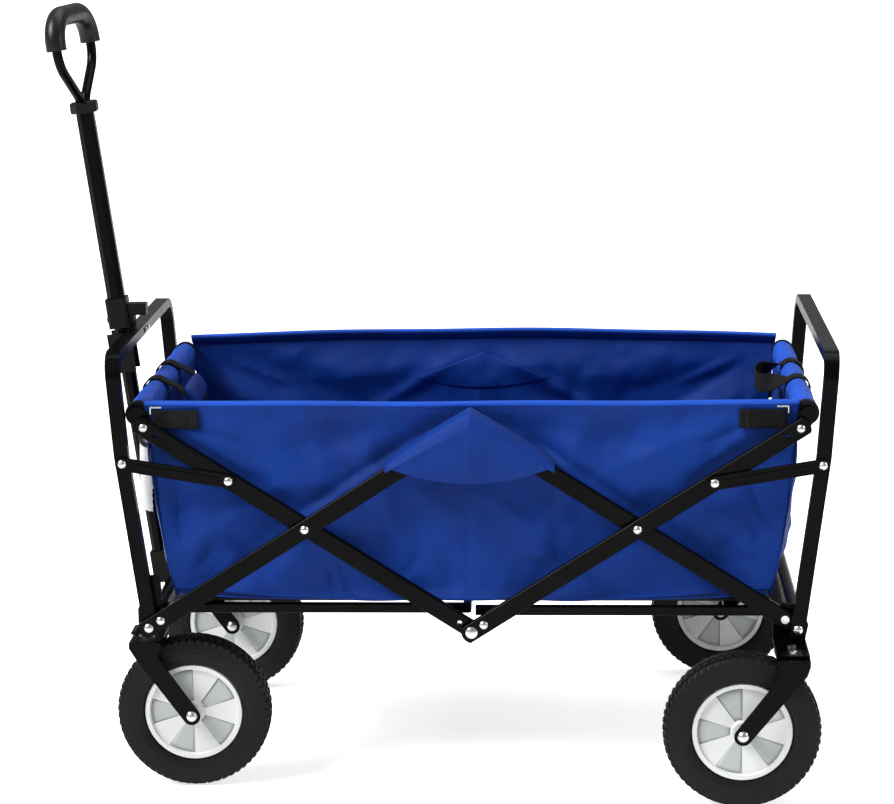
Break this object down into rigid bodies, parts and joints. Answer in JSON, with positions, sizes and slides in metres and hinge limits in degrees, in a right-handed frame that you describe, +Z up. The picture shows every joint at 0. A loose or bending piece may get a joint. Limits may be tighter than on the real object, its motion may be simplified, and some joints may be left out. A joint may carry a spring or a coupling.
{
  "type": "folding beach cart",
  "caption": "Folding four-wheel pull cart: fabric tub on a scissor frame, end hoops, swivelling front casters and a telescoping pull handle.",
  "frame": {"origin": "on the ground under the middle of the whole outline's box", "axes": "+X from the handle end to the rear, +Y across the cart to the far side, +Z up"},
  "size_m": [0.9905, 0.6302, 0.9742],
  "materials": {
    "black_steel": "satin black powder coat",
    "zinc": "bright zinc plate",
    "blue_fabric": "coated polyester plain weave",
    "black_webbing": "ribbed webbing",
    "mesh": "open knitted mesh",
    "tyre": "moulded rubber, matte",
    "rim_plastic": "satin white moulding",
    "board": "dark hardboard",
    "black_plastic": "fine moulded texture"
  },
  "bodies": {
    "front_base": {"front_base": "black_steel", "front_base_pins": "zinc", "caster_bearing_collars": "zinc"},
    "front_rising_bars": {"front_rising_bars": "black_steel", "front_rising_bar_rivets": "zinc"},
    "front_falling_bars": {"front_falling_bars": "black_steel", "front_falling_bar_rivets": "zinc", "front_rim_tube": "black_steel", "front_rim_sleeve": "blue_fabric"},
    "rear_rising_bars": {"rear_rising_bars": "black_steel", "rear_rising_bar_rivets": "zinc"},
    "rear_falling_bars": {"rear_falling_bars": "black_steel", "rear_falling_bar_rivets": "zinc", "rear_rim_tube": "black_steel", "rear_rim_sleeve": "blue_fabric"},
    "rear_base": {"rear_base": "black_steel", "rear_base_pins": "zinc", "rear_forks": "black_steel", "rear_axle_bolts": "zinc"},
    "front_end_frame": {"front_end_frame": "black_steel", "front_frame_rivets": "zinc", "handle_clip": "black_plastic"},
    "rear_end_frame": {"rear_end_frame": "black_steel", "rear_frame_rivets": "zinc"},
    "front_struts": {"front_struts": "black_steel"},
    "rear_struts": {"rear_struts": "black_steel"},
    "front_floor": {"front_floor_rails": "black_steel", "front_floor_board": "board"},
    "rear_floor": {"rear_floor_rails": "black_steel", "rear_floor_board": "board"},
    "tub_front": {"tub_walls_and_floor": "blue_fabric", "tub_front_wall": "blue_fabric", "tub_flaps": "blue_fabric", "corner_webbing_patches": "black_webbing", "rim_wire_hooks": "zinc", "front_lift_webbing": "black_webbing", "front_lift_grip": "blue_fabric", "front_mesh_pockets": "mesh"},
    "tub_rear": {"tub_rear_wall": "blue_fabric", "rear_lift_webbing": "black_webbing"},
    "handle_lower": {"handle_foot": "black_plastic", "handle_lower_tube": "black_steel"},
    "handle_upper": {"handle_upper_tube": "black_steel", "telescope_collar": "black_plastic", "handle_top_ring": "black_plastic", "handle_loop": "black_steel", "handle_grip": "black_plastic"},
    "telescope_button": {"telescope_button": "black_plastic"},
    "front_near_caster": {"front_near_fork": "black_steel", "front_near_axle_bolt": "zinc"},
    "front_near_wheel": {"front_near_tyre": "tyre", "front_near_rim": "rim_plastic"},
    "rear_near_wheel": {"rear_near_tyre": "tyre", "rear_near_rim": "rim_plastic"},
    "front_far_caster": {"front_far_fork": "black_steel", "front_far_axle_bolt": "zinc"},
    "front_far_wheel": {"front_far_tyre": "tyre", "front_far_rim": "rim_plastic"},
    "rear_far_wheel": {"rear_far_tyre": "tyre", "rear_far_rim": "rim_plastic"}
  },
  "joints": [
    {"name": "fold", "type": "hinge", "parent": "front_base", "child": "front_rising_bars", "pos_m": [-0.35884, 0, 0.21339], "axis": [0, -1, 0], "range_deg": [0, 45.4], "deforming": ["tub_walls_and_floor", "tub_front_wall", "tub_flaps", "corner_webbing_patches", "rim_wire_hooks", "front_lift_webbing", "front_lift_grip", "front_mesh_pockets", "tub_rear_wall", "rear_lift_webbing"]},
    {"name": "front_cross_pivot", "type": "hinge", "parent": "front_rising_bars", "child": "front_falling_bars", "pos_m": [-0.16086, 0, 0.34], "axis": [0, -1, 0], "range_deg": [-90.81, 0]},
    {"name": "top_middle_pivot", "type": "hinge", "parent": "front_rising_bars", "child": "rear_rising_bars", "pos_m": [0.0447, 0, 0.47146], "axis": [0, -1, 0], "range_deg": [-90.81, 0]},
    {"name": "rear_cross_pivot", "type": "hinge", "parent": "rear_rising_bars", "child": "rear_falling_bars", "pos_m": [0.25026, 0, 0.34], "axis": [0, -1, 0], "range_deg": [0, 90.81]},
    {"name": "rear_corner_pivot", "type": "hinge", "parent": "rear_rising_bars", "child": "rear_base", "pos_m": [0.44823, 0, 0.21339], "axis": [0, -1, 0], "range_deg": [0, 45.41]},
    {"name": "front_frame_lean", "type": "hinge", "parent": "front_base", "child": "front_end_frame", "pos_m": [-0.35884, 0, 0.21339], "axis": [0, -1, 0], "range_deg": [-2.02, 0]},
    {"name": "rear_frame_lean", "type": "hinge", "parent": "rear_base", "child": "rear_end_frame", "pos_m": [0.44823, 0, 0.21339], "axis": [0, -1, 0], "range_deg": [0, 2.02]},
    {"name": "front_strut_pivot", "type": "hinge", "parent": "front_end_frame", "child": "front_struts", "pos_m": [-0.38643, 0, 0.42187], "axis": [0, -1, 0], "range_deg": [0, 81.88]},
    {"name": "rear_strut_pivot", "type": "hinge", "parent": "rear_end_frame", "child": "rear_struts", "pos_m": [0.47583, 0, 0.42187], "axis": [0, -1, 0], "range_deg": [-81.88, 0]},
    {"name": "front_floor_pivot", "type": "hinge", "parent": "front_base", "child": "front_floor", "pos_m": [-0.3435, 0, 0.229], "axis": [0, -1, 0], "range_deg": [0, 77.48]},
    {"name": "rear_floor_pivot", "type": "hinge", "parent": "rear_base", "child": "rear_floor", "pos_m": [0.4329, 0, 0.229], "axis": [0, -1, 0], "range_deg": [-77.48, 0]},
    {"name": "tub_front_rise", "type": "slide", "parent": "front_base", "child": "tub_front", "axis": [0, 0, 1], "range_m": [0, 0.2072]},
    {"name": "tub_rear_rise", "type": "slide", "parent": "rear_base", "child": "tub_rear", "axis": [0, 0, 1], "range_m": [0, 0.2072]},
    {"name": "handle_tilt", "type": "hinge", "parent": "front_end_frame", "child": "handle_lower", "pos_m": [-0.35884, 0, 0.21339], "axis": [0, -1, 0], "range_deg": [0, 70]},
    {"name": "handle_telescope", "type": "slide", "parent": "handle_lower", "child": "handle_upper", "axis": [-0.1312, 0, 0.9914], "range_m": [-0.17, 0]},
    {"name": "telescope_button_press", "type": "slide", "parent": "handle_upper", "child": "telescope_button", "axis": [0.9914, 0, 0.1312], "range_m": [0, 0.003], "stiffness_N_per_m": 400, "springref_m": -0.002},
    {"name": "front_near_caster_swivel", "type": "hinge", "parent": "front_base", "child": "front_near_caster", "pos_m": [-0.3653, -0.203, 0.2], "axis": [0, 0, 1], "continuous": true},
    {"name": "front_near_wheel_spin", "type": "hinge", "parent": "front_near_caster", "child": "front_near_wheel", "pos_m": [-0.3089, -0.203, 0.0975], "axis": [0, 1, 0], "continuous": true},
    {"name": "rear_near_wheel_spin", "type": "hinge", "parent": "rear_base", "child": "rear_near_wheel", "pos_m": [0.3779, -0.276, 0.0975], "axis": [0, 1, 0], "continuous": true},
    {"name": "front_far_caster_swivel", "type": "hinge", "parent": "front_base", "child": "front_far_caster", "pos_m": [-0.3653, 0.203, 0.2], "axis": [0, 0, 1], "continuous": true},
    {"name": "front_far_wheel_spin", "type": "hinge", "parent": "front_far_caster", "child": "front_far_wheel", "pos_m": [-0.3089, 0.203, 0.0975], "axis": [0, 1, 0], "continuous": true},
    {"name": "rear_far_wheel_spin", "type": "hinge", "parent": "rear_base", "child": "rear_far_wheel", "pos_m": [0.3779, 0.276, 0.0975], "axis": [0, 1, 0], "continuous": true}
  ],
  "couplings": [
    {"joint": "front_cross_pivot", "follows": "fold", "ratio": -2},
    {"joint": "top_middle_pivot", "follows": "fold", "ratio": -2},
    {"joint": "rear_cross_pivot", "follows": "fold", "ratio": 2},
    {"joint": "rear_corner_pivot", "follows": "fold", "ratio": 1},
    {"joint": "front_frame_lean", "follows": "fold", "ratio": -0.044053},
    {"joint": "rear_frame_lean", "follows": "fold", "ratio": 0.044053},
    {"joint": "front_strut_pivot", "follows": "fold", "ratio": 1.8033},
    {"joint": "rear_strut_pivot", "follows": "fold", "ratio": -1.8033},
    {"joint": "front_floor_pivot", "follows": "fold", "ratio": 1.7063},
    {"joint": "rear_floor_pivot", "follows": "fold", "ratio": -1.7063},
    {"joint": "tub_front_rise", "follows": "fold", "m_per_rad": 0.26089},
    {"joint": "tub_rear_rise", "follows": "fold", "m_per_rad": 0.26089}
  ]
}
